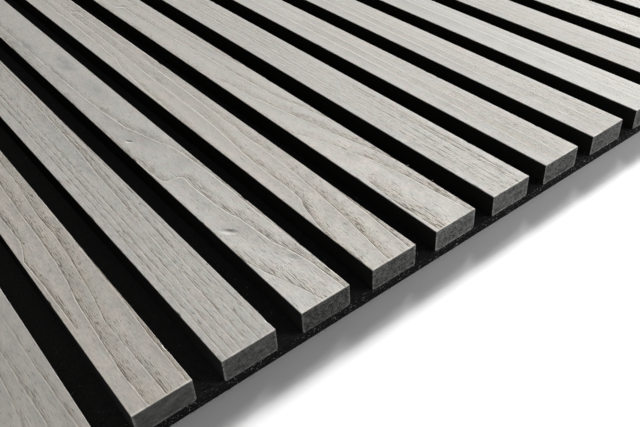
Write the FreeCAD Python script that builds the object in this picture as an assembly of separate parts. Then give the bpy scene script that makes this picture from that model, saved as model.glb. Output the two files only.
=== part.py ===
"""Acoustic slat wall panel.

A board of black needled felt carries a row of parallel slats, with an open groove
between each two slats and half a groove of bare felt along both long edges, so that
panels side by side keep the slat spacing. Each slat is a bar of dyed fibreboard with
a thin grey wood veneer laminated on its face. Staples driven from the back run
through the felt into the fibreboard.

X runs across the slats, Y along them, and Z out of the wall face. The origin is the
centre of the felt's back face, so the panel lies on Z = 0. Sizes are in millimetres.
"""

import os

import FreeCAD
import Part

# Panel layout
panel_length = 2400.0
slat_count = 15
slat_width = 26.5
groove_width = 13.5
edge_margin = groove_width / 2

# Layers, from the wall outwards
felt_thickness = 5.5
core_thickness = 12.0
veneer_thickness = 0.5

# Slat edges
core_back_bevel = 0.8
veneer_face_ease = 0.25

# Staples: flat wire, with the crown across the slat
staples_per_slat = 6
staple_end_distance = 60.0
staple_crown_width = 12.0
staple_wire_width = 1.2
staple_wire_thickness = 0.6
staple_shoulder = 0.6
staple_sink = 0.3
staple_bite = 8.0
staple_tip_bevel = 1.2

slat_pitch = slat_width + groove_width
panel_width = 2 * edge_margin + slat_count * slat_width + (slat_count - 1) * groove_width
core_bottom = felt_thickness
core_top = core_bottom + core_thickness
veneer_top = core_top + veneer_thickness


def slat_centres():
    """Places of the slats' centre lines along X, from the left edge to the right."""
    first = -(slat_count - 1) * slat_pitch / 2
    return [first + index * slat_pitch for index in range(slat_count)]


def staple_stations():
    """Places of one slat's staples along Y, evenly spaced between the end distances."""
    first = staple_end_distance - panel_length / 2
    step = (panel_length - 2 * staple_end_distance) / (staples_per_slat - 1)
    return [first + index * step for index in range(staples_per_slat)]


def prism(right_half, length):
    """A solid along Y, centred on Y = 0, from the right half of a mirrored outline.

    The half outline is a list of points (x, z), from the lowest to the highest or on
    round the shape, and its mirror image in X = 0 closes it.
    """
    left_half = [(-x, z) for x, z in reversed(right_half)]
    corners = [FreeCAD.Vector(x, -length / 2, z) for x, z in right_half + left_half]
    face = Part.Face(Part.makePolygon(corners + corners[:1]))
    return face.extrude(FreeCAD.Vector(0, length, 0))


def block(width, length, bottom, top):
    """A plain block centred on X = 0 and Y = 0, between two heights."""
    corner = FreeCAD.Vector(-width / 2, -length / 2, bottom)
    return Part.makeBox(width, length, top - bottom, corner)


def core_bar():
    """Fibreboard bar of one slat at X = 0, with both long back edges bevelled."""
    half = slat_width / 2
    right_half = [
        (half - core_back_bevel, core_bottom),
        (half, core_bottom + core_back_bevel),
        (half, core_top),
    ]
    return prism(right_half, panel_length)


def veneer_strip():
    """Face veneer of one slat at X = 0, with both long face edges eased."""
    half = slat_width / 2
    right_half = [
        (half, core_top),
        (half, veneer_top - veneer_face_ease),
        (half - veneer_face_ease, veneer_top),
    ]
    return prism(right_half, panel_length)


def staple():
    """One staple at X = 0 and Y = 0: crown in the felt's back, bevelled tips in the core."""
    outer = staple_crown_width / 2
    inner = outer - staple_wire_thickness
    crown_back = staple_sink
    crown_front = crown_back + staple_wire_thickness
    tip = core_bottom + staple_bite
    right_half = [
        (outer - staple_shoulder, crown_back),
        (outer, crown_back + staple_shoulder),
        (outer, tip),
        (inner, tip - staple_tip_bevel),
        (inner, crown_front),
    ]
    return prism(right_half, staple_wire_width)


def crown_groove():
    """The pinched furrow that sinks a staple's crown below the felt's back face."""
    crown_front = staple_sink + staple_wire_thickness
    return block(staple_crown_width, staple_wire_width, 0, crown_front)


def copies(shape, places):
    """One copy of shape at each place (x, y)."""
    moved = []
    for x, y in places:
        copy = shape.copy()
        copy.translate(FreeCAD.Vector(x, y, 0))
        moved.append(copy)
    return moved


def export(name, shape):
    """Writes one sub-part as parts/NAME.step."""
    shape.exportStep(os.path.join("parts", name + ".step"))


def main():
    os.makedirs("parts", exist_ok=True)
    centres = slat_centres()
    stations = staple_stations()
    one_row = [(0, y) for y in stations]
    all_places = [(x, y) for x in centres for y in stations]

    felt = block(panel_width, panel_length, 0, felt_thickness)
    seats = copies(staple().fuse(crown_groove()), all_places)
    export("felt_backing", felt.cut(seats))

    core = core_bar().cut(copies(staple(), one_row))
    veneer = veneer_strip()
    for number, x in enumerate(centres, start=1):
        export(f"slat_core_{number:02d}", copies(core, [(x, 0)])[0])
        export(f"slat_veneer_{number:02d}", copies(veneer, [(x, 0)])[0])

    export("staples", Part.makeCompound(copies(staple(), all_places)))


main()
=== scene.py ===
"""Dresses the acoustic slat wall panel: veneer figure and relief, sawn fibreboard, felt and its fibres.

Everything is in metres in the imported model's own frame: X runs across the slats, Y along them and Z out
of the wall face. Figure and fibre sizes are written in millimetres, the unit that wood is looked at in,
and are turned into metres where a mesh is made.
"""

import math
from collections import namedtuple

import bpy
import numpy as np
from mathutils import Matrix, Vector


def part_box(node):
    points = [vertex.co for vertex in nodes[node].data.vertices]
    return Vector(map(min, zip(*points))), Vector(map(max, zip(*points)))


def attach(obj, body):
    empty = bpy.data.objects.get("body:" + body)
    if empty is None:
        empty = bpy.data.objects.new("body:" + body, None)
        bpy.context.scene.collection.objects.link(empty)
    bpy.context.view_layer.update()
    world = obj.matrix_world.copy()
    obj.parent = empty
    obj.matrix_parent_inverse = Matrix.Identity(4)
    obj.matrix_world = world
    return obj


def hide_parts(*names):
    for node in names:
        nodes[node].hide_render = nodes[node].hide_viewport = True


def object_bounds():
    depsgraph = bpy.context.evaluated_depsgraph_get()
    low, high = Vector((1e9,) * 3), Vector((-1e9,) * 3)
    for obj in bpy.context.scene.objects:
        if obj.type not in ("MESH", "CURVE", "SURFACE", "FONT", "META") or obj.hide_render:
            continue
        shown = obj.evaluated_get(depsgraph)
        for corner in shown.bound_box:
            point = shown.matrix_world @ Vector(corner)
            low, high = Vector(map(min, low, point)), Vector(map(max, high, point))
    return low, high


MM = 0.001

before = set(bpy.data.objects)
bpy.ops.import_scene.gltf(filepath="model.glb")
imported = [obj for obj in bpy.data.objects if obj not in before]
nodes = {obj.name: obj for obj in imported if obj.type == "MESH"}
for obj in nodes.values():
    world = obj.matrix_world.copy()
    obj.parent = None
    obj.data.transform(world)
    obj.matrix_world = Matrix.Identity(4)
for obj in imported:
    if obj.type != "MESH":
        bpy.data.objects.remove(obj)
cad_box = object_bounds()
slat_count = sum(name.startswith("slat_veneer_") for name in nodes)
panel_low, panel_high = cad_box
near_end_y = panel_low.y
panel_length = panel_high.y - panel_low.y


# Camera

# Place and direction come from the vanishing points and slat corners of a 640 by 427 picture
IMAGE_WIDTH_PX = 640
FOCAL_LENGTH_PX = 746.2
SENSOR_WIDTH_MM = 36.0
CAMERA_PLACE = Vector((-0.25319, -1.38356, 0.24822))
CAMERA_FORWARD = Vector((0.45673, 0.63027, -0.62782))
CAMERA_UP = Vector((0.42008, 0.46929, 0.77673))


def make_camera():
    """Camera at the low near corner of the panel, looking down along the slats."""
    data = bpy.data.cameras.new("camera")
    data.sensor_width = SENSOR_WIDTH_MM
    data.lens = FOCAL_LENGTH_PX * SENSOR_WIDTH_MM / IMAGE_WIDTH_PX
    data.clip_start = 0.01
    data.clip_end = 100.0
    camera = bpy.data.objects.new("camera", data)
    back = -CAMERA_FORWARD.normalized()
    right = CAMERA_UP.cross(back).normalized()
    up = back.cross(right)
    turn = Matrix((right, up, back)).transposed()
    camera.matrix_world = Matrix.Translation(CAMERA_PLACE) @ turn.to_4x4()
    bpy.context.scene.collection.objects.link(camera)
    bpy.context.scene.camera = camera


# Node helpers


class Nodes:
    """Short calls that add nodes to one new material and link them."""

    def __init__(self, name):
        self.material = bpy.data.materials.new(name)
        self.material.use_nodes = True
        self.tree = self.material.node_tree
        self.shader = self.tree.nodes["Principled BSDF"]
        self.place = self.add("ShaderNodeTexCoord").outputs["Object"]

    def add(self, kind, **settings):
        node = self.tree.nodes.new(kind)
        for key, value in settings.items():
            setattr(node, key, value)
        return node

    def put(self, socket, value):
        """Links an output to the socket, or sets a plain value on it."""
        if isinstance(value, bpy.types.NodeSocket):
            self.tree.links.new(value, socket)
        else:
            socket.default_value = value

    def math(self, operation, *values):
        node = self.add("ShaderNodeMath", operation=operation)
        for socket, value in zip(node.inputs, values):
            self.put(socket, value)
        return node.outputs[0]

    def spread(self, value, low, high, to_low=0.0, to_high=1.0):
        """Maps low..high to to_low..to_high and stops at both."""
        node = self.add("ShaderNodeMapRange")
        for socket, item in zip(node.inputs, (value, low, high, to_low, to_high)):
            self.put(socket, item)
        return node.outputs[0]

    def mix(self, share, first, second, blend="MIX"):
        node = self.add("ShaderNodeMix", data_type="RGBA", blend_type=blend)
        colour_inputs = [s for s in node.inputs if s.type == "RGBA"]
        self.put(node.inputs[0], share)
        for socket, value in zip(colour_inputs, (first, second)):
            self.put(socket, value if isinstance(value, bpy.types.NodeSocket) else (*value, 1.0))
        return next(s for s in node.outputs if s.type == "RGBA")

    def grain(self, sizes_mm, detail=2.0, roughness=0.5, place=None, seed=0.0):
        """Noise from 0 to 1, whose patches have about these sizes along X, Y and Z."""
        mapping = self.add("ShaderNodeMapping")
        self.put(mapping.inputs["Vector"], place or self.place)
        mapping.inputs["Scale"].default_value = [1 / (size * MM) for size in sizes_mm]
        mapping.inputs["Location"].default_value = (seed * 7.3, seed * 3.1, seed * 5.7)
        noise = self.add("ShaderNodeTexNoise")
        self.put(noise.inputs["Vector"], mapping.outputs[0])
        noise.inputs["Scale"].default_value = 1.0
        noise.inputs["Detail"].default_value = detail
        noise.inputs["Roughness"].default_value = roughness
        return noise.outputs[0]

    def attribute(self, name):
        return self.add("ShaderNodeAttribute", attribute_name=name).outputs["Fac"]

    def bump(self, height, depth_mm, normal=None):
        node = self.add("ShaderNodeBump")
        node.inputs["Strength"].default_value = 1.0
        node.inputs["Distance"].default_value = depth_mm * MM
        self.put(node.inputs["Height"], height)
        if normal is not None:
            self.put(node.inputs["Normal"], normal)
        return node.outputs[0]

    def dent(self, centre, half_wide, half_long, turn):
        """1 away from an oval dent round this place, falling smoothly to 0 at its middle."""
        offset = self.add("ShaderNodeMapping", vector_type="TEXTURE")
        self.put(offset.inputs["Vector"], self.place)
        offset.inputs["Location"].default_value = centre
        offset.inputs["Rotation"].default_value = (0.0, 0.0, math.radians(turn))
        offset.inputs["Scale"].default_value = (half_wide, half_long, 1000.0)
        reach = self.add("ShaderNodeVectorMath", operation="LENGTH")
        self.put(reach.inputs[0], offset.outputs[0])
        node = self.add("ShaderNodeMapRange", interpolation_type="SMOOTHSTEP")
        self.put(node.inputs["Value"], reach.outputs["Value"])
        return node.outputs[0]

    def finish(self, colour, roughness, normal, specular=0.3):
        self.put(self.shader.inputs["Base Color"], colour)
        self.put(self.shader.inputs["Roughness"], roughness)
        self.put(self.shader.inputs["Normal"], normal)
        self.shader.inputs["Specular IOR Level"].default_value = specular
        return self.material


# Materials

COOL_GREY = (0.505, 0.499, 0.474)
WARM_GREY = (0.537, 0.493, 0.442)
ROSE_GREY = (0.530, 0.478, 0.452)
MOSS_GREY = (0.487, 0.490, 0.435)
BAND_BROWN = (0.435, 0.390, 0.320)
PORE_BROWN_AND_SHADE = (0.120, 0.106, 0.084)
STAIN_GREY = (0.270, 0.275, 0.265)
CREAM_AND_HIGHLIGHT = (0.700, 0.672, 0.622)


def veneer_material(name, figure, corner):
    """Grey-stained wood: bright ring lines, partly a painted highlight, each with a brown furrow, partly
    painted shade, and a porous warm band behind it.
    """
    n = Nodes(name)
    ring = n.attribute("ring")
    furrow = n.attribute("furrow")
    porous = n.attribute("porous")
    growth = n.attribute("growth")

    flow = n.add("ShaderNodeCombineXYZ")
    place = n.add("ShaderNodeSeparateXYZ")
    n.put(place.inputs[0], n.place)
    n.put(flow.inputs["X"], growth)
    n.put(flow.inputs["Y"], place.outputs["Y"])
    n.put(flow.inputs["Z"], place.outputs["Z"])
    along_rings = flow.outputs[0]

    broad = n.grain((12, 70, 30), detail=2.0, place=along_rings, seed=figure.seed)
    streaks = n.grain((1.1, 50, 3), detail=3.0, roughness=0.65, place=along_rings, seed=figure.seed + 1)
    fine = n.grain((0.32, 7, 0.8), detail=2.0, roughness=0.6, seed=figure.seed + 2)
    dashes = n.grain((0.28, 4.5, 0.8), detail=1.0, seed=figure.seed + 3)
    strokes = n.grain((0.42, 14, 0.8), detail=1.5, seed=figure.seed + 6)
    mottle = n.grain((1.3, 2.4, 1.3), detail=3.0, roughness=0.65, seed=figure.seed + 4)
    clouds = n.grain((5, 9, 5), detail=3.0, roughness=0.55, seed=figure.seed + 5)
    blush = n.grain((3, 6, 5), detail=3.0, roughness=0.6, seed=figure.seed + 7)
    moss = n.grain((4, 9, 5), detail=3.0, roughness=0.6, seed=figure.seed + 8)

    from_near_end = n.math("SUBTRACT", place.outputs["Y"], corner.y)
    contrast = n.spread(from_near_end, 0.04, 0.15, figure.contrast, figure.far_contrast)

    warm_share = n.math("ADD", n.spread(broad, 0.38, 0.62, -0.14, 0.18), n.math("MULTIPLY", porous, 0.3))
    warm_share = n.math("ADD", warm_share, n.spread(clouds, 0.38, 0.62, -0.20, 0.20))
    warm_share = n.spread(n.math("ADD", warm_share, figure.warmth), 0.0, 1.0)
    colour = n.mix(warm_share, COOL_GREY, WARM_GREY)
    colour = n.mix(n.spread(blush, 0.48, 0.62, 0.0, figure.rose), colour, ROSE_GREY)
    colour = n.mix(n.spread(moss, 0.50, 0.62, 0.0, 0.6), colour, MOSS_GREY)
    dense = n.spread(porous, 0.0, 0.65)
    band = n.math("MULTIPLY", dense, n.spread(streaks, 0.38, 0.62, 0.05, 0.55))
    colour = n.mix(n.math("MULTIPLY", band, contrast), colour, BAND_BROWN)

    striped = n.math(
        "ADD", n.spread(streaks, 0.36, 0.64, -0.07, 0.07), n.spread(fine, 0.36, 0.64, -0.11, 0.11)
    )
    swing = n.math("MULTIPLY", striped, n.spread(dense, 0.0, 1.0, 0.35, 1.0))
    swing = n.math("ADD", swing, n.spread(mottle, 0.36, 0.64, -0.05, 0.05))
    swing = n.math("ADD", swing, n.spread(clouds, 0.36, 0.64, -0.06, 0.06))
    # Painted shade: on most slats the tone falls from its near value to its far value between 20 and 200 mm
    # from the near end
    tone = n.spread(from_near_end, 0.02, 0.2, figure.tone, figure.far_tone)
    value = n.math("MULTIPLY", n.math("ADD", n.math("MULTIPLY", swing, contrast), 1.0), tone)
    shade = n.add("ShaderNodeCombineXYZ")
    for socket in shade.inputs:
        n.put(socket, value)
    colour = n.mix(1.0, colour, shade.outputs[0], "MULTIPLY")

    crowd = n.spread(clouds, 0.40, 0.60, 0.7 * figure.crowd, 1.3 * figure.crowd)
    crowd = n.math("ADD", n.math("MULTIPLY", dense, crowd), figure.pores)
    short_pores = n.spread(n.math("ADD", dashes, crowd), 0.64, 0.70)
    long_pores = n.spread(n.math("ADD", strokes, crowd), 0.67, 0.73)
    pores = n.math("MULTIPLY", n.math("MAXIMUM", short_pores, long_pores), contrast)
    colour = n.mix(n.math("MULTIPLY", pores, 0.85), colour, PORE_BROWN_AND_SHADE)
    # Brown line in each furrow behind a ring line: partly pores, partly painted shade beside the raised ridge
    pore_and_shade_line = n.math("MULTIPLY", n.spread(furrow, 0.05, 0.65), n.spread(fine, 0.35, 0.60, 1.0, 0.45))
    colour = n.mix(n.math("MULTIPLY", pore_and_shade_line, contrast), colour, PORE_BROWN_AND_SHADE)
    # Cream ring lines: partly the wood's own pale lines, partly a painted highlight on their raised ridges
    cream_and_highlight_line = n.math("MULTIPLY", n.spread(ring, 0.20, 0.80), figure.shine)
    cream_and_highlight_line = n.math("MULTIPLY", cream_and_highlight_line, n.spread(mottle, 0.42, 0.56, 0.45, 1.0))
    colour = n.mix(cream_and_highlight_line, colour, CREAM_AND_HIGHLIGHT)
    # Painted highlight: a pale line along the near edge of the top, within 1 mm of the near end
    near_edge_highlight = n.spread(from_near_end, 0.3 * MM, 1.0 * MM, 1.0, 0.0)
    near_edge_highlight = n.math("MULTIPLY", near_edge_highlight, n.spread(clouds, 0.42, 0.58, 0.15, 0.85))
    colour = n.mix(near_edge_highlight, colour, CREAM_AND_HIGHLIGHT)

    fibrous = n.math("MULTIPLY", n.math("MULTIPLY", streaks, 0.2), contrast)
    relief = n.bump(n.math("SUBTRACT", fibrous, pores), 0.06)
    relief = n.bump(mottle, 0.08, relief)
    for across, along, half_wide, half_long, turn, depth in figure.dents:
        centre = corner + Vector((across * MM, along * MM, 0.0))
        dent = n.dent(centre, half_wide * MM, half_long * MM, turn)
        relief = n.bump(dent, depth, relief)
        # Painted shade: each dent is darkened towards its middle, the more the deeper it is
        colour = n.mix(n.spread(dent, 0.0, 0.5, depth * 0.5, 0.0), colour, PORE_BROWN_AND_SHADE)
    for across, along, half_wide, half_long, turn, share in figure.stains:
        centre = corner + Vector((across * MM, along * MM, 0.0))
        clear = n.dent(centre, half_wide * MM, half_long * MM, turn)
        patchy = n.spread(clouds, 0.38, 0.54, 0.3 * share, share)
        stain = n.math("MULTIPLY", n.math("SUBTRACT", 1.0, clear), patchy)
        colour = n.mix(stain, colour, STAIN_GREY)
    roughness = n.spread(fine, 0.3, 0.7, 0.70, 0.82)
    return n.finish(colour, roughness, relief, specular=0.04)


# Brightness and roughness of the sawn ends of those slats that differ from the rest
END_LOOKS = {3: (1.10, 0.4), 4: (1.04, 1.0), 5: (0.76, 1.6), 6: (1.01, 1.4), 7: (1.37, 1.3), 8: (1.32, 1.2)}
PLAIN_END_LOOK = (1.05, 1.3)


def fibreboard_material(name, look, box):
    """Black-dyed fibreboard: matt black paint on the long sides, with painted light near the near end, and
    two grey sawn ends with painted highlights along their rims.
    """
    n = Nodes(name)
    facing = n.add("ShaderNodeSeparateXYZ")
    n.put(facing.inputs[0], n.add("ShaderNodeNewGeometry").outputs["Normal"])
    along = n.math("ABSOLUTE", facing.outputs["Y"])
    sawn = n.spread(along, 0.5, 0.9)

    tone, roughness = look
    clumps = n.grain((2.2, 2.2, 1.6), detail=3.0, roughness=0.65, seed=3)
    specks = n.grain((0.5, 0.5, 0.4), detail=2.0, roughness=0.7, seed=4)
    patches = n.grain((7, 7, 4), detail=2.0, seed=5)
    value = n.math(
        "ADD", n.spread(clumps, 0.36, 0.64, -0.042, 0.042), n.spread(specks, 0.40, 0.66, -0.050, 0.090)
    )
    value = n.math("MULTIPLY", value, roughness)
    value = n.math("ADD", value, n.spread(patches, 0.38, 0.62, 0.105, 0.155))

    low, high = box
    place = n.add("ShaderNodeSeparateXYZ")
    n.put(place.inputs[0], n.place)
    from_middle = n.math("ABSOLUTE", n.math("SUBTRACT", place.outputs["X"], (low.x + high.x) / 2))
    half = (high.x - low.x) / 2
    # Painted highlights: pale rims along the sides and bottom of each sawn end
    side_highlight = n.spread(from_middle, half - 1.3 * MM, half - 0.3 * MM)
    low_highlight = n.spread(place.outputs["Z"], low.z + 1.3 * MM, low.z + 0.3 * MM)
    rim_highlight = n.math("MULTIPLY", n.math("MAXIMUM", side_highlight, low_highlight), n.spread(clumps, 0.35, 0.60, 0.05, 0.20))
    value = n.math("MULTIPLY", n.math("ADD", value, rim_highlight), tone)
    sawn_colour = n.add("ShaderNodeCombineXYZ")
    for socket, tint in zip(sawn_colour.inputs, (1.0, 1.0, 0.97)):
        n.put(socket, n.math("MULTIPLY", value, tint))

    paint = n.grain((3, 40, 3), detail=2.0, seed=6)
    paint_colour = n.mix(paint, (0.009, 0.009, 0.007), (0.016, 0.015, 0.013))
    # Painted light: the black paint is lighter, and its sheen stronger, within 150 mm of the near end, as the
    # light falls off along the slat
    lit_paint_colour = n.mix(paint, (0.013, 0.013, 0.012), (0.021, 0.021, 0.019))
    from_near_end = n.math("SUBTRACT", place.outputs["Y"], low.y)
    painted_light = n.spread(from_near_end, 0.005, 0.150, 1.0, 0.0)
    colour = n.mix(sawn, n.mix(painted_light, paint_colour, lit_paint_colour), sawn_colour.outputs[0])
    bump = n.bump(n.math("MULTIPLY", n.math("ADD", clumps, specks), sawn), 0.25)
    n.put(n.shader.inputs["Sheen Weight"], n.math("MULTIPLY", n.spread(sawn, 0.0, 1.0, 0.12, 0.0), painted_light))
    n.shader.inputs["Sheen Roughness"].default_value = 0.4
    return n.finish(colour, 0.75, bump, specular=0.12)


# Between these places across the panel, the felt's front goes from lighter grey, as painted light, to plain
# black
LIT_FELT_X = -0.24
PLAIN_FELT_X = -0.03


def felt_material():
    """Black needled felt: a tangle of fine fibres, dimpled by needles, with painted light that makes its
    front lighter towards the left side.
    """
    n = Nodes("felt")
    tangle = n.grain((0.35, 0.9, 0.35), detail=4.0, roughness=0.75, seed=8)
    cross_tangle = n.grain((1.1, 0.35, 0.4), detail=4.0, roughness=0.75, seed=9)
    lumps = n.grain((4, 4, 3), detail=3.0, seed=10)
    fibres = n.math("MAXIMUM", tangle, cross_tangle)
    facing = n.add("ShaderNodeSeparateXYZ")
    n.put(facing.inputs[0], n.add("ShaderNodeNewGeometry").outputs["Normal"])
    cut = n.mix(n.spread(fibres, 0.5, 0.8), (0.007, 0.007, 0.008), (0.035, 0.035, 0.035))
    plain_felt = n.mix(n.spread(fibres, 0.5, 0.8), (0.013, 0.013, 0.014), (0.050, 0.050, 0.050))
    lit_felt = n.mix(n.spread(fibres, 0.5, 0.8), (0.052, 0.052, 0.050), (0.170, 0.170, 0.165))
    place = n.add("ShaderNodeSeparateXYZ")
    n.put(place.inputs[0], n.place)
    # Painted light: the felt's front is lighter towards the left side
    painted_light = n.spread(place.outputs["X"], LIT_FELT_X, PLAIN_FELT_X, 1.0, 0.0)
    painted_light = n.math("MULTIPLY", painted_light, n.spread(facing.outputs["Z"], 0.5, 0.9))
    fuzzy = n.mix(painted_light, plain_felt, lit_felt)
    colour = n.mix(n.spread(n.math("ABSOLUTE", facing.outputs["Z"]), 0.5, 0.9), cut, fuzzy)
    height = n.math("ADD", n.math("MULTIPLY", fibres, 0.5), lumps)
    n.shader.inputs["Sheen Weight"].default_value = 0.06
    n.shader.inputs["Sheen Roughness"].default_value = 0.5
    return n.finish(colour, 0.95, n.bump(height, 0.5), specular=0.1)


def fibre_material(name, dark, light):
    """Loose felt fibres, each lighter or darker along its length."""
    n = Nodes(name)
    tone = n.grain((3, 3, 3), detail=1.0, seed=12)
    colour = n.mix(n.spread(tone, 0.35, 0.65), dark, light)
    return n.finish(colour, 0.6, n.bump(tone, 0.02), specular=0.3)


def staple_material():
    """Galvanised flat wire, drawn lengthwise, with dull patches of zinc."""
    n = Nodes("staple_steel")
    drawn = n.grain((6, 0.15, 0.15), detail=2.0, seed=14)
    zinc = n.grain((1.2, 1.2, 1.2), detail=3.0, seed=15)
    colour = n.mix(zinc, (0.42, 0.43, 0.44), (0.62, 0.63, 0.64))
    n.shader.inputs["Metallic"].default_value = 1.0
    roughness = n.spread(zinc, 0.3, 0.7, 0.28, 0.5)
    return n.finish(colour, roughness, n.bump(drawn, 0.02), specular=0.5)


def dress(name, material):
    """Gives one CAD node its material."""
    node = nodes[name]
    node.data.materials.clear()
    node.data.materials.append(material)


# Veneer figure

# One slat's wood. Lines are ring lines, each a list of points (mm from the slat's left edge, mm from the
# near end). Tone scales its brightness and contrast makes its figure bold or faint, and each has a value for
# further along the slat. Tone is partly painted shade: on most slats it is lower further from the near end,
# and it is lower on the slats towards the left. Warmth moves it from blue-grey to beige, pores adds dark
# pores everywhere and crowd adds them inside the porous bands, and shine makes the lines bright, partly as a
# painted highlight. Bands gives the width in mm of the porous band behind some of the lines, by line number,
# and clarity the strength of lines that stand out more or less than the rest. Dents are shallow oval
# hollows, with painted shade at their middle: mm from the left edge, mm from the near end, half width, half
# length, degrees turned and depth in mm. Stains are soft grey smudges, given in the same way with their
# strength in place of the depth. Rose is the strength of its rosy patches
FIGURE_FIELDS = (
    "seed tone far_tone warmth contrast far_contrast pores crowd shine lines bands dents stains clarity rose"
)
Figure = namedtuple("Figure", FIGURE_FIELDS, defaults=({}, (), (), {}, 0.8))

# The low tones of slats 2 to 4 are painted shade, darker towards the left side
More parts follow.
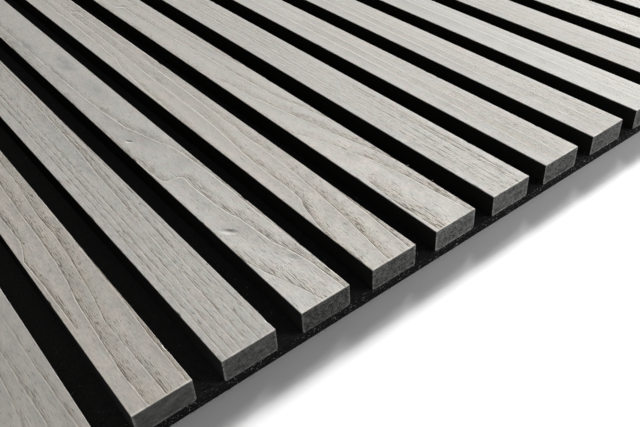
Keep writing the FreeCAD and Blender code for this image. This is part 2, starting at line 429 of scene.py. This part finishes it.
HAND_FIGURES = {
    2: Figure(21, 0.70, 0.71, 0.52, 0.80, 0.70, -0.03, 0.09, 0.15, (
        ((5, 0), (6, 20), (8, 40), (9, 80), (10, 140)),
        ((13, 0), (14, 20), (13.5, 40), (13, 70), (14, 140)),
        ((23, 0), (22, 25), (21, 60), (20.5, 100), (21, 160)),
    ), {0: 2.6, 1: 3.0, 2: 2.6}, clarity={0: 0.5, 1: 0.6, 2: 0.5}, rose=0.2),
    3: Figure(22, 0.82, 0.85, 0.92, 1.05, 1.20, -0.03, 0.12, 0.45, (
        ((2.5, 60), (2.2, 90), (1.2, 112), (3.5, 119), (5.2, 127), (5.0, 145), (4, 170), (5, 230)),
        ((7.4, 0), (6.6, 18), (7.6, 40), (8.6, 56), (9.5, 72), (11.3, 84), (12.6, 100), (13.4, 125),
         (13.6, 145), (14.5, 180), (14, 240)),
        ((15.2, 0), (14.5, 30), (13.6, 50), (15.2, 62), (17, 76), (18, 89), (19.4, 104), (20.1, 125),
         (19.6, 143), (20.6, 158), (21.8, 180), (22, 210), (21.5, 260)),
        ((24.6, 0), (24.4, 30), (25.6, 60), (25.8, 100), (26.4, 160)),
    ), {0: 3.0, 1: 5.0, 2: 5.0, 3: 2.0}, rose=0.3),
    4: Figure(23, 0.90, 0.87, 0.16, 0.78, 0.84, 0.00, 0.09, 0.50, (
        ((2.6, 0), (3.4, 60), (4.4, 120), (5, 190), (5.5, 260)),
        ((6.0, 0), (6.6, 60), (7.4, 120), (8.2, 190), (8.6, 260)),
        ((9.6, 0), (10, 60), (10.9, 120), (11.4, 190), (11.8, 260)),
        ((13.0, 0), (14.0, 37), (14.5, 65), (16.1, 100), (17.4, 125), (18.4, 156), (19.9, 175), (21.1, 212),
         (21.7, 244), (22.4, 300)),
        ((18.2, 0), (18.4, 60), (20.6, 125), (22.4, 180), (23.8, 260)),
        ((22.6, 0), (23.4, 60), (24.6, 130), (25.6, 200)),
    ), {0: 1.4, 1: 1.8, 2: 1.4, 3: 2.4, 4: 1.6, 5: 1.6}, (), (), {0: 0.5, 1: 0.6, 2: 0.5, 4: 0.6, 5: 0.5}),
    5: Figure(24, 1.08, 0.90, 0.12, 0.92, 0.60, -0.02, 0.13, 1.00, (
        ((12.0, 0), (10, 9), (6.5, 20), (3.0, 31), (0.4, 42), (-2, 55), (-4, 80), (-5, 130)),
        ((23.6, 0), (23, 12), (22.4, 25), (19.9, 37), (17.4, 46), (16.5, 59), (15.5, 71), (13.6, 78),
         (12.4, 88), (11.8, 100), (11.6, 112), (12.1, 118), (11.6, 121), (8, 122.5), (3.4, 123), (1.8, 125),
         (1.0, 131), (0.2, 150), (-1.5, 200)),
        ((26.4, 0), (25.6, 30), (25.4, 50), (24.6, 69), (25.2, 87), (24.9, 112), (23.8, 131), (23, 143),
         (22.2, 150), (18.8, 160), (16.2, 170), (14, 179), (11.8, 187), (10.7, 200), (9.5, 215), (8.6, 231),
         (8, 247), (7, 300), (6.5, 380)),
    ), {0: 9.0, 1: 5.5}, (
        (6.2, 172, 1.6, 3.2, 40, 0.40), (6.1, 66, 2.4, 5.8, 40, 0.42), (17.7, 31, 3.0, 5.0, 40, 0.18),
    ), (
        (7.3, 340, 7, 22, 20, 0.62), (6.7, 321, 5, 14, 10, 0.52), (19.1, 295, 6, 17, 0, 0.70),
        (17.3, 283, 5, 14, 20, 0.60), (18.7, 241, 8, 30, 0, 0.50), (6.6, 279, 5, 24, 0, 0.42),
        (18.2, 170, 6, 20, 10, 0.42), (8.0, 66, 6, 12, 30, 0.30), (6.9, 176, 5, 11, 30, 0.45),
    ), {0: 0.45, 1: 1.6, 2: 1.25}),
    6: Figure(25, 1.04, 0.97, 0.46, 1.10, 0.45, -0.02, 0.12, 0.90, (
        ((-3, 0), (-1.5, 25), (1.4, 42), (2.8, 49), (4.6, 57), (7.4, 63), (8.2, 75), (7.8, 97), (8.7, 120),
         (10.2, 136), (11.7, 157), (12, 180), (12.2, 204), (12.8, 250), (14.2, 300), (15, 380)),
        ((10.2, 0), (10.8, 8), (12.8, 22), (14.7, 37), (16.8, 60), (18.3, 82), (19.2, 105), (19.2, 135),
         (19.8, 165), (20.3, 204), (21, 260), (20.4, 330)),
        ((22.6, 0), (23.4, 14), (24.6, 30), (25.8, 60), (26.6, 110)),
        ((-4, 90), (-1, 150), (1.0, 200), (2.2, 230), (4.4, 260), (7.4, 272), (8.4, 300), (9, 350)),
    ), {0: 6.5, 1: 7.0}, ((19.6, 368, 2.4, 6.0, 40, 0.30),), ((12, 322, 4, 30, 8, 0.25),)),
    7: Figure(26, 1.10, 0.97, 0.30, 1.08, 0.48, -0.04, 0.15, 1.00, (
        ((2.0, 0), (1.6, 12), (1.0, 26), (1.4, 38), (2.2, 48), (3.2, 56)),
        ((23.7, 0), (23, 10), (21.5, 25), (20, 42), (18.2, 54), (16.2, 67), (13.2, 76), (10.7, 88), (8, 97),
         (5, 106), (1.2, 113), (-2, 122), (-5, 140)),
        ((28.5, 20), (27, 45), (25.2, 60), (23.7, 70), (20.7, 85), (17.7, 100), (15.5, 114), (12.2, 132),
         (9.5, 150), (6.5, 165), (5, 187), (2, 204), (0.5, 215), (-2, 240)),
        ((31, 90), (26, 112), (23, 127), (21.5, 138), (18.8, 150), (17, 165), (16.2, 180), (15.5, 195),
         (14.6, 230), (12, 270), (10.5, 330)),
        ((36, 150), (27, 190), (23.5, 215), (22.6, 250), (20, 300), (19, 380)),
    ), {0: 9.0, 1: 8.0, 2: 7.0}, ((10.4, 350, 2.6, 7.0, 40, 0.30),), ((21, 240, 5, 40, 5, 0.22),), {0: 0.7}),
    8: Figure(27, 1.05, 0.97, 0.00, 1.08, 0.38, -0.02, 0.11, 0.15, (
        ((6.2, 0), (6.4, 40), (6.0, 90), (5.2, 160), (5, 230)),
        ((9.4, 0), (9.8, 40), (9.4, 90), (9.8, 160)),
        ((12.8, 0), (13.2, 40), (13.6, 90), (13.2, 160), (12.2, 230)),
        ((17.6, 0), (18.2, 40), (18.0, 90), (18.6, 160)),
        ((20.6, 0), (21.0, 40), (20.8, 90), (20.4, 160), (21.5, 230)),
    ), {0: 1.6, 1: 2.4, 2: 2.0, 3: 2.8, 4: 3.0}),
    9: Figure(28, 1.01, 1.00, 0.00, 0.60, 0.25, 0.00, 0.05, 0.12, (
        ((7.5, 0), (8.5, 60), (9.5, 160), (10, 300)),
        ((15, 0), (15.6, 60), (16.5, 160), (18, 300)),
        ((21, 0), (22, 80), (23, 200)),
    ), {0: 9.0, 1: 8.0}),
    10: Figure(29, 0.97, 0.97, 0.00, 0.65, 0.20, 0.00, 0.05, 0.12, (
        ((8.5, 0), (7.5, 60), (8.5, 150), (9.5, 300)),
        ((15.5, 0), (14, 70), (14.6, 150), (16.5, 300)),
        ((21.5, 0), (20.5, 60), (22, 160), (23, 260)),
    ), {0: 9.0, 1: 8.0}),
    11: Figure(30, 1.02, 0.95, -0.35, 0.35, 0.12, 0.01, 0.03, 0.05, (
        ((12, 0), (13, 90), (13, 200)),
        ((19, 0), (20, 120), (22, 250)),
    ), rose=0.2),
    12: Figure(31, 0.89, 0.88, 0.10, 0.40, 0.22, 0.01, 0.03, 0.05, (
        ((6, 0), (7, 120), (8, 250)),
        ((17, 0), (17, 120), (19, 250)),
    )),
}


# Relief of a ring line: a low rounded ridge, then a porous band that lies a little lower
RIDGE_WIDTH_MM = 0.75
RIDGE_HEIGHT_MM = 0.06
FURROW_WIDTH_MM = 0.8
FURROW_DEPTH_MM = 0.06
BAND_DEPTH_MM = 0.04
BAND_WIDTH_MM = 4.6

# Rows of the veneer mesh: close together where the figure is seen near by, then further apart
FINE_ROW_MM = 2.0
FINE_LENGTH_MM = 440.0
COARSE_ROW_MM = 12.0
LEAST_COLUMN_GAP_MM = 0.02

# Slats with rows closer together where a ring line turns sharply, from and to in mm from the near end
CLOSE_ROW_MM = 0.5
CLOSE_ROWS = {5: (112.0, 127.0)}

# Most that a slanting line is widened across the slat, and how much a line swells where it slants
MOST_STRETCH = 12.0
SLANT_SWELL = 0.65

# A ring line whose points end nearer than this stops there
SHORT_LINE_MM = 70.0
LINE_FADE_MM = 6.0

EASE_MM = 0.12

# Chips of the veneer's long edges by slat: mm from the near end, depth and half length
LEFT_CHIPS = {4: ((34.5, 0.7, 2.2),), 7: ((57, 0.5, 4.0),)}
RIGHT_CHIPS = {3: ((22, 0.7, 3.0), (71, 0.5, 4.0)), 4: ((6.2, 0.7, 2.4),), 5: ((36, 0.4, 3.0),)}

# Splinters that stand out from the veneer's right edge: slat and mm from the near end
SPLINTERS = ((7, 48.3), (7, 30.0))


def wavy(rng, places, wavelength):
    """A smooth random curve over the places, from -1 to 1, with about this wavelength."""
    low, high = places.min(), places.max()
    knots = np.arange(low - wavelength, high + 2 * wavelength, wavelength / 2)
    heights = rng.uniform(-1, 1, len(knots))
    steps = np.clip((places - knots[0]) / (wavelength / 2), 0, len(knots) - 1.001)
    index = steps.astype(int)
    share = steps - index
    ease = share * share * (3 - 2 * share)
    return heights[index] * (1 - ease) + heights[index + 1] * ease


def slat_figure(number, rng):
    """The listed figure of a slat, or a plain one of nearly straight rings."""
    if number in HAND_FIGURES:
        return HAND_FIGURES[number]
    spacing = rng.uniform(4.0, 7.0)
    first = rng.uniform(0.5, spacing)
    lines = []
    across = first
    while across < 27:
        lean = rng.uniform(-1.5, 1.5)
        lines.append(((across, 0), (across + lean / 2, 200), (across + lean, 400)))
        across += spacing * rng.uniform(0.7, 1.3)
    tone = rng.uniform(0.93, 0.98)
    warmth = rng.uniform(-0.2, 0.1)
    contrast = rng.uniform(0.5, 0.7)
    return Figure(
        number * 3 + 1, tone, tone, warmth, contrast, 0.6 * contrast, 0.01, 0.05, 0.1, tuple(lines), rose=0.3
    )


def line_places(line, rows, rng, drift):
    """Where one ring line crosses each row, in mm from the slat's left edge."""
    across = [point[0] for point in line]
    along = [point[1] for point in line]
    order = np.argsort(along)
    along = np.array(along, float)[order]
    across = np.array(across, float)[order]
    places = np.interp(rows, along, across)
    beyond = np.clip((rows - along[-1]) / 200, 0, 1)
    return places + beyond * drift + 0.06 * wavy(rng, rows, 9.0)


def line_stretch(line, rows):
    """How much wider a slanting line is across the slat than square to itself, at each row."""
    slant = np.gradient(line, rows)
    return np.minimum((1 + slant**2) ** SLANT_SWELL, MOST_STRETCH)


def line_presence(line, rows, strength):
    """A ring line's strength, which fades in at its first point, and a short line's also fades out."""
    first = min(point[1] for point in line)
    last = max(point[1] for point in line)
    strengths = strength * np.clip((rows - first) / LINE_FADE_MM + 1, 0, 1)
    if last > SHORT_LINE_MM:
        return strengths
    return strengths * np.clip((last - rows) / LINE_FADE_MM, 0, 1)


def veneer_rows(number, length_mm):
    near = np.arange(0, FINE_LENGTH_MM, FINE_ROW_MM)
    far = np.arange(FINE_LENGTH_MM, length_mm - COARSE_ROW_MM / 2, COARSE_ROW_MM)
    start, stop = CLOSE_ROWS.get(number, (0, 0))
    close = np.arange(start, stop, CLOSE_ROW_MM)
    return np.union1d(np.concatenate([near, far, [length_mm]]), close)


def nicked_edge(rng, rows, chips=()):
    """How far a long edge of the veneer is chipped or frayed inwards at each row, in mm."""
    fray = 0.05 * np.abs(wavy(rng, rows, 5.0)) + 0.03 * rng.uniform(0, 1, len(rows))
    for _ in range(7):
        centre = rng.uniform(0, rows[-1])
        if rng.uniform() < 0.5:
            centre = rng.uniform(0, FINE_LENGTH_MM)
        depth = rng.uniform(0.15, 0.5)
        half = rng.uniform(1.5, 4.0)
        fray = np.maximum(fray, depth * np.clip(1 - np.abs(rows - centre) / half, 0, 1))
    for centre, depth, half in chips:
        fray = np.maximum(fray, depth * np.clip(1 - np.abs(rows - centre) / half, 0, 1))
    return fray


def veneer_piece(number):
    """One slat's face veneer with its ring lines in relief, in the place of its plain CAD solid."""
    name = f"slat_veneer_{number:02d}"
    low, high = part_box(name)
    rng = np.random.default_rng(500 + number)
    figure = slat_figure(number, rng)
    width_mm = (high.x - low.x) / MM
    rows = veneer_rows(number, (high.y - low.y) / MM)

    drift = 2.5 * wavy(rng, rows, 900.0) + 1.2 * wavy(rng, rows, 260.0)
    lines = [line_places(line, rows, rng, drift) for line in figure.lines]
    presence = [
        line_presence(line, rows, figure.clarity.get(index, 1.0)) for index, line in enumerate(figure.lines)
    ]
    strengths = [np.minimum(share * (0.66 + 0.34 * wavy(rng, rows, 24.0)), 1.0) for share in presence]
    band_strengths = [
        np.minimum(share, 1.0) ** 0.3 * (0.72 + 0.28 * wavy(rng, rows, 60.0)) for share in presence
    ]
    band_widths = [
        figure.bands.get(index, BAND_WIDTH_MM) * (1 + 0.3 * wavy(rng, rows, 120.0))
        for index in range(len(lines))
    ]

    halves = [RIDGE_WIDTH_MM / 2 * line_stretch(line, rows) for line in lines]
    columns = []
    for line, half, band in zip(lines, halves, band_widths):
        columns += [line - half, line, line + half, line + half + FURROW_WIDTH_MM, line + half + band]
    inner_low = EASE_MM + nicked_edge(rng, rows, LEFT_CHIPS.get(number, ()))
    inner_high = width_mm - EASE_MM - nicked_edge(rng, rows, RIGHT_CHIPS.get(number, ()))
    columns = np.sort(np.clip(np.array(columns), inner_low, inner_high), axis=0)
    columns = np.vstack([inner_low, columns, inner_high])
    for index in range(1, len(columns)):
        columns[index] = np.maximum(columns[index], columns[index - 1] + LEAST_COLUMN_GAP_MM)
    columns = np.minimum(columns, inner_high - LEAST_COLUMN_GAP_MM * np.arange(len(columns))[::-1, None])

    ring = np.zeros_like(columns)
    furrow = np.zeros_like(columns)
    porous = np.zeros_like(columns)
    parts = zip(lines, halves, strengths, band_strengths, band_widths)
    for line, half, strength, band_strength, band in parts:
        offset = columns - line
        ring = np.maximum(ring, strength * np.clip(1 - np.abs(offset) / half, 0, 1))
        behind = np.clip(offset / half, 0, 1)
        furrow_fade = np.clip(1 - (offset - half) / FURROW_WIDTH_MM, 0, 1)
        furrow = np.maximum(furrow, band_strength * behind * furrow_fade)
        band_fade = np.clip(1 - (offset - half) / band, 0, 1)
        porous = np.maximum(porous, band_strength * behind * band_fade)

    ordered = sorted(range(len(lines)), key=lambda index: lines[index][0])
    anchors = np.array([lines[index] for index in ordered])
    anchors = np.maximum.accumulate(anchors, axis=0)
    growth = np.empty_like(columns)
    homes = anchors[:, 0]
    for row in range(len(rows)):
        shift = np.interp(columns[:, row], anchors[:, row], homes - anchors[:, row])
        growth[:, row] = columns[:, row] + shift

    rise = RIDGE_HEIGHT_MM * ring - FURROW_DEPTH_MM * furrow - BAND_DEPTH_MM * porous
    loops = veneer_loops(columns, rise, width_mm, (high.z - low.z) / MM, rng, rows)
    count = len(loops[0])
    vertices = np.empty((len(rows), count, 3))
    vertices[:, :, 0] = low.x + np.array([loop[:, 0] for loop in loops]) * MM
    vertices[:, :, 1] = (low.y + rows * MM)[:, None]
    vertices[:, :, 2] = low.z + np.array([loop[:, 1] for loop in loops]) * MM

    faces = []
    for start in range(0, (len(rows) - 1) * count, count):
        for k in range(count):
            after = (k + 1) % count
            faces.append((start + k, start + after, start + count + after, start + count + k))
    faces.append(tuple(reversed(range(count))))
    faces.append(tuple((len(rows) - 1) * count + k for k in range(count)))

    mesh = bpy.data.meshes.new(name + "_figured")
    mesh.from_pydata(vertices.reshape(-1, 3).tolist(), [], faces)
    mesh.polygons.foreach_set("use_smooth", [True] * len(mesh.polygons))
    mesh.set_sharp_from_angle(angle=math.radians(35))
    pad = ((2, 2), (0, 0))
    for key, field, scale in (
        ("ring", ring, 1.0), ("furrow", furrow, 1.0), ("porous", porous, 1.0), ("growth", growth, MM)
    ):
        values = np.pad(field * scale, pad, mode="edge").T
        attribute = mesh.attributes.new(key, "FLOAT", "POINT")
        attribute.data.foreach_set("value", values.astype(np.float32).ravel())
    mesh.materials.append(veneer_material(f"veneer_{number:02d}", figure, low))
    piece = bpy.data.objects.new(name + "_figured", mesh)
    bpy.context.scene.collection.objects.link(piece)
    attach(piece, "root")
    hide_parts(name)
    return piece


def add_splinters(material):
    """Slivers of veneer, lifted from a slat's right edge."""
    rng = np.random.default_rng(71)
    roots = []
    for number, along in SPLINTERS:
        low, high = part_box(f"slat_veneer_{number:02d}")
        roots.append((high.x / MM - 0.3, low.y / MM + along, high.z / MM - 0.1))
    roots = np.array(roots)
    count = len(roots)
    ways = np.column_stack([
        np.full(count, 0.75),
        rng.uniform(-0.5, 0.1, count),
        rng.uniform(0.2, 0.45, count),
    ])
    ways /= np.linalg.norm(ways, axis=1, keepdims=True)
    mesh = fibre_mesh("splinters", roots, ways, rng.uniform(1.4, 1.8, count), np.full(count, 0.2), rng, 0.16)
    mesh.materials.append(material)
    piece = bpy.data.objects.new("splinters", mesh)
    bpy.context.scene.collection.objects.link(piece)
    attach(piece, "root")


def veneer_loops(columns, rise, width_mm, thickness_mm, rng, rows):
    """The outline of each row's cross-section, from the lower left corner over the top and back."""
    inset_low = columns[0] - EASE_MM
    inset_high = width_mm - EASE_MM - columns[-1]
    loops = []
    for row in range(len(rows)):
        top = np.column_stack([columns[:, row], thickness_mm - RIDGE_HEIGHT_MM / 2 + rise[:, row]])
        left = [(inset_low[row] * 0.3, 0.0), (inset_low[row], thickness_mm - EASE_MM)]
        right = [
            (width_mm - inset_high[row], thickness_mm - EASE_MM),
            (width_mm - inset_high[row] * 0.3, 0.0),
        ]
        loops.append(np.vstack([left, top, right]))
    return loops


# Felt fibres

FIBRE_RADIUS_MM = 0.045
FIBRE_SEGMENTS = 3


def fibre_mesh(name, roots, ways, lengths, curls, rng, radius_mm=FIBRE_RADIUS_MM):
    """One mesh of many thin curved fibres, each a closed three-sided tube."""
    count = len(roots)
    steps = np.linspace(0, 1, FIBRE_SEGMENTS + 1)
    side = np.cross(ways, rng.normal(size=(count, 3)))
    side /= np.linalg.norm(side, axis=1, keepdims=True)
    path = (
        roots[:, None, :]
        + ways[:, None, :] * lengths[:, None, None] * steps[None, :, None]
        + side[:, None, :] * (curls * lengths)[:, None, None] * (steps**2)[None, :, None]
    )
    other = np.cross(ways, side)
    taper = np.array([1.0] * FIBRE_SEGMENTS + [0.5])
    corners = []
    for angle in (0, 2 * math.pi / 3, 4 * math.pi / 3):
        around = math.cos(angle) * side + math.sin(angle) * other
        corners.append(path + around[:, None, :] * radius_mm * taper[None, :, None])
    points = np.stack(corners, axis=2).reshape(count, -1, 3)
    pattern = []
    for s in range(FIBRE_SEGMENTS):
        for k in range(3):
            after = (k + 1) % 3
            pattern.append((3 * s + k, 3 * s + after, 3 * s + 3 + after, 3 * s + 3 + k))
    size = 3 * (FIBRE_SEGMENTS + 1)
    faces = []
    for index in range(count):
        base = index * size
        faces += [tuple(base + k for k in quad) for quad in pattern]
        faces.append((base + 2, base + 1, base))
        faces.append((base + size - 3, base + size - 2, base + size - 1))
    mesh = bpy.data.meshes.new(name)
    mesh.from_pydata((points.reshape(-1, 3) * MM).tolist(), [], faces)
    mesh.polygons.foreach_set("use_smooth", [True] * len(mesh.polygons))
    return mesh


def add_fibres(name, mesh, material):
    mesh.materials.append(material)
    piece = bpy.data.objects.new(name, mesh)
    bpy.context.scene.collection.objects.link(piece)
    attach(piece, "root")


def end_fibres(name, y_side, count, material, seed, radius_mm=FIBRE_RADIUS_MM, longest_mm=2.6):
    """Loose fibres along one cut end of the felt: on the cut itself and along its upper arris."""
    rng = np.random.default_rng(seed)
    low, high = (np.array(corner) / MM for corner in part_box("felt_backing"))
    y_face = low[1] if y_side < 0 else high[1]
    roots = np.column_stack([
        rng.uniform(low[0], high[0], count),
        np.full(count, y_face) + y_side * rng.uniform(-0.05, 0.05, count),
        low[2] + 0.3 + (high[2] - low[2] - 0.3) * rng.uniform(0, 1, count) ** 0.7,
    ])
    ways = np.column_stack([
        rng.normal(0, 1.0, count),
        y_side * rng.uniform(0.0, 0.16, count),
        rng.normal(0, 0.45, count),
    ])
    ways /= np.linalg.norm(ways, axis=1, keepdims=True)
    lengths = longest_mm * rng.uniform(0.25, 1.0, count)
    curls = rng.uniform(-0.6, 0.6, count)
    mesh = fibre_mesh(name, roots, ways, lengths, curls, rng, radius_mm)
    clamp_fibres(mesh, low, high)
    add_fibres(name, mesh, material)


def clamp_fibres(mesh, low, high):
    """Keeps every fibre above the wall face. The box of the felt, low and high, is not used."""
    places = np.empty(len(mesh.vertices) * 3)
    mesh.vertices.foreach_get("co", places)
    places = places.reshape(-1, 3)
    places[:, 2] = np.maximum(places[:, 2], 0.02 * MM)
    mesh.vertices.foreach_set("co", places.ravel())
    mesh.update()


def groove_fibres(name, count, material, seed, near_share=0.5):
    """Loose fibres on the bare felt between the slats and along both long margins."""
    rng = np.random.default_rng(seed)
    low, high = (np.array(corner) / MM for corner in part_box("felt_backing"))
    cores = [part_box(f"slat_core_{number:02d}") for number in range(1, slat_count + 1)]
    edges = [low[0]] + [corner.x / MM for core in cores for corner in core] + [high[0]]
    grooves = [(edges[k], edges[k + 1]) for k in range(0, len(edges), 2)]
    which = rng.integers(0, len(grooves), count)
    left = np.array([groove[0] for groove in grooves])[which]
    right = np.array([groove[1] for groove in grooves])[which]
    along = rng.uniform(low[1] + 1, high[1] - 1, count)
    near = rng.uniform(size=count) < near_share
    along[near] = low[1] + 1 + 60 * rng.uniform(0, 1, near.sum()) ** 1.6
    roots = np.column_stack([
        left + 1.0 + (right - left - 2.0) * rng.uniform(0, 1, count),
        along,
        np.full(count, high[2]) + rng.uniform(0.0, 0.1, count),
    ])
    ways = np.column_stack([rng.normal(0, 1, count), rng.normal(0, 1, count), rng.uniform(0.0, 0.25, count)])
    ways /= np.linalg.norm(ways, axis=1, keepdims=True)
    lengths = np.minimum(rng.uniform(0.8, 3.0, count), 0.45 * (right - left))
    curls = rng.uniform(-0.6, 0.6, count)
    add_fibres(name, fibre_mesh(name, roots, ways, lengths, curls, rng), material)


# Stage, light and world

FLOOR_SIZE = 40.0
FLOOR_DROP = 0.0002

# Between these distances from the panel, well clear of its shadow, the floor is seen as more and more white
SHADED_FLOOR = 0.09
WHITE_FLOOR = 0.45

# Low light from beyond the far right, in as many directions as it takes to blur the shadow of each groove
# into the next: aimed from (across, along) for every unit of height. Half of it is soft suns for the whole
# panel, and half is a row of lamps as high above the floor as LAMP_HEIGHT, that makes the near right
# corner brightest. A second row faces the other way and lights only the rest of the panel. The levels are
# what all the suns, or all the lamps of a row, give a white floor at the place that the row is levelled for
LIGHT_ACROSS = (1.45, 1.97, 2.49, 3.01, 3.53)
LIGHT_ALONG = 1.0
SUN_ANGLE = math.radians(10)
SUN_LEVEL = 0.28
LAMP_HEIGHT = 0.96
LAMP_BACK = Vector((0.0, 0.97, 0.243))
LAMP_SIZE = (0.42, 0.30)
LAMP_LEVEL = 0.75
LEVELLED_ACROSS = 0.12
NEAR_ROW_LEVELLED = Vector((LEVELLED_ACROSS, near_end_y, 0.0))
FAR_ROW_LEVELLED = Vector((LEVELLED_ACROSS, near_end_y + 1.71, 0.0))

# A weak softbox off the near right corner
SOFTBOX_PLACE = Vector((0.55, -1.70, 0.27))
SOFTBOX_AIM = Vector((0.0, -1.05, 0.0))
SOFTBOX_SIZE = 0.35
SOFTBOX_POWER = 2.7

FILL_LEVEL = 0.12


def floor_material():
    """White floor, which the camera sees brighter than it lights the panel, with a soft grey shadow."""
    n = Nodes("floor")
    path = n.add("ShaderNodeLightPath")
    seen = n.math("MAXIMUM", path.outputs["Is Camera Ray"], path.outputs["Is Glossy Ray"])
    seen = n.math("MAXIMUM", seen, path.outputs["Is Transmission Ray"])
    place = n.add("ShaderNodeSeparateXYZ")
    n.put(place.inputs[0], n.place)
    across = n.math("SUBTRACT", n.math("ABSOLUTE", place.outputs["X"]), panel_high.x)
    along = n.math("SUBTRACT", n.math("ABSOLUTE", place.outputs["Y"]), panel_high.y)
    away = n.spread(n.math("MAXIMUM", across, along), SHADED_FLOOR, WHITE_FLOOR)
    away.node.interpolation_type = "SMOOTHSTEP"
    lit = n.mix(away, (1.0, 1.0, 1.0), (0.0, 0.0, 0.0))
    n.put(n.shader.inputs["Base Color"], n.mix(seen, (0.35, 0.35, 0.35), lit))
    n.put(n.shader.inputs["Emission Strength"], n.math("MULTIPLY", seen, away))
    n.shader.inputs["Roughness"].default_value = 1.0
    n.shader.inputs["Specular IOR Level"].default_value = 0.0
    return n.material


def make_stage():
    half = FLOOR_SIZE / 2
    z = panel_low.z - FLOOR_DROP
    mesh = bpy.data.meshes.new("floor")
    corners = [(-half, -half, z), (half, -half, z), (half, half, z), (-half, half, z)]
    mesh.from_pydata(corners, [], [(0, 1, 2, 3)])
    mesh.materials.append(floor_material())
    floor = bpy.data.objects.new("floor", mesh)
    bpy.context.scene.collection.objects.link(floor)


def add_light(name, kind, towards, place=(0, 0, 0), **settings):
    """A lamp or sun that shines back along the direction towards it."""
    data = bpy.data.lights.new(name, kind)
    for key, value in settings.items():
        setattr(data, key, value)
    lamp = bpy.data.objects.new(name, data)
    lamp.location = place
    lamp.rotation_mode = "QUATERNION"
    lamp.rotation_quaternion = Vector(towards).to_track_quat("Z", "Y")
    bpy.context.scene.collection.objects.link(lamp)
    return lamp


def add_lamp_row(name, levelled, way):
    """A row of lamps over the right side that faces the place it is levelled for: way is 1 or -1 along Y."""
    wide, high = LAMP_SIZE
    mirror = Vector((1.0, way, 1.0))
    back = LAMP_BACK * mirror
    for number, across in enumerate(LIGHT_ACROSS, start=1):
        towards = Vector((across, LIGHT_ALONG, 1.0)) * mirror
        slope = towards.normalized().z
        reach = towards.length * LAMP_HEIGHT
        facing = towards.normalized().dot(back.normalized())
        power = math.pi**2 * LAMP_LEVEL / len(LIGHT_ACROSS) * reach**2 / (facing * slope)
        lamp = add_light(
            f"{name}_{number}", "AREA", back, levelled + towards * LAMP_HEIGHT,
            shape="RECTANGLE", size=wide, size_y=high, energy=power,
        )
        lamp.visible_camera = False


def make_lights():
    """Adds the suns beyond the far right corner, both rows of lamps, and the softbox in front."""
    for number, across in enumerate(LIGHT_ACROSS, start=1):
        towards = Vector((across, LIGHT_ALONG, 1.0))
        energy = math.pi * SUN_LEVEL / len(LIGHT_ACROSS) / towards.normalized().z
        add_light(f"sun_{number}", "SUN", towards, energy=energy, angle=SUN_ANGLE)
    add_lamp_row("near_lamp", NEAR_ROW_LEVELLED, 1.0)
    add_lamp_row("far_lamp", FAR_ROW_LEVELLED, -1.0)
    softbox = add_light(
        "softbox", "AREA", SOFTBOX_PLACE - SOFTBOX_AIM, SOFTBOX_PLACE, size=SOFTBOX_SIZE, energy=SOFTBOX_POWER
    )
    softbox.visible_camera = False


def make_world():
    """Grey fill light, seen as white."""
    world = bpy.data.worlds.new("world")
    world.use_nodes = True
    bpy.context.scene.world = world
    tree = world.node_tree
    background = tree.nodes["Background"]
    path = tree.nodes.new("ShaderNodeLightPath")
    pick = tree.nodes.new("ShaderNodeMapRange")
    background.inputs["Color"].default_value = (1.0, 1.0, 1.0, 1.0)
    tree.links.new(path.outputs["Is Camera Ray"], pick.inputs[0])
    pick.inputs["To Min"].default_value = FILL_LEVEL
    pick.inputs["To Max"].default_value = 1.0
    tree.links.new(pick.outputs[0], background.inputs["Strength"])


bpy.context.scene.view_settings.view_transform = "Standard"
make_camera()
make_world()
make_lights()
make_stage()

for slat in range(1, slat_count + 1):
    core = f"slat_core_{slat:02d}"
    board = fibreboard_material(f"fibreboard_{slat:02d}", END_LOOKS.get(slat, PLAIN_END_LOOK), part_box(core))
    dress(core, board)
    veneer_piece(slat)
dress("felt_backing", felt_material())
dress("staples", staple_material())

add_splinters(fibre_material("splinter_wood", (0.42, 0.39, 0.34), (0.52, 0.49, 0.44)))
black_fibre = fibre_material("black_fibre", (0.008, 0.008, 0.009), (0.031, 0.031, 0.031))
# Pale fibres: partly pale lint, partly painted glints of fibres catching the light
pale_and_glinting_fibre = fibre_material("pale_and_glinting_fibre", (0.09, 0.09, 0.09), (0.90, 0.89, 0.86))
end_fibres("felt_fibres_near_end", -1, 6500, black_fibre, 61)
end_fibres("felt_fibres_near_end_grey", -1, 1300, pale_and_glinting_fibre, 62, 0.09, longest_mm=1.0)
end_fibres("felt_fibres_far_end", 1, 3000, black_fibre, 63)
groove_fibres("felt_fibres_grooves", 7000, black_fibre, 64)
groove_fibres("felt_fibres_grooves_grey", 500, pale_and_glinting_fibre, 65)
